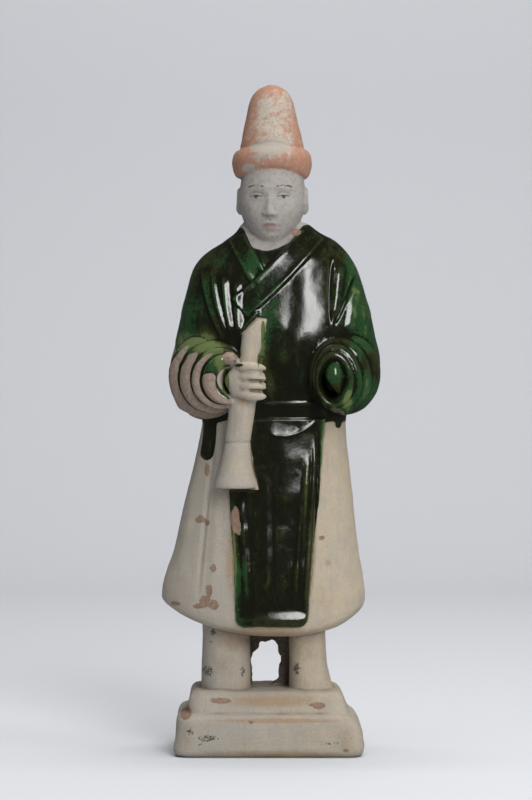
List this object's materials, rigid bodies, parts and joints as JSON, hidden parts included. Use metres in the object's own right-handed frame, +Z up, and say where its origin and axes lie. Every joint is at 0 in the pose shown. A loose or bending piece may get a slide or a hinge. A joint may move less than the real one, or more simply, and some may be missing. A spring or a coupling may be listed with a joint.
{
  "type": "tomb attendant figure",
  "caption": "Standing earthenware tomb attendant in a long crossed robe and tall hat, holding a horn upright, on a two-step plinth.",
  "frame": {"origin": "centre of the bounding box on the flat underside of the plinth", "axes": "+Z up, the figure faces -Y, its right hand with the horn is on -X"},
  "size_m": [0.0984, 0.0708, 0.3],
  "materials": {
    "glazed_earthenware": "cream slip over buff clay, dark green gloss lead glaze on the upper robe and front panel, worn orange-red pigment on the hat"
  },
  "bodies": {
    "root": {"figure": "glazed_earthenware"}
  },
  "joints": []
}
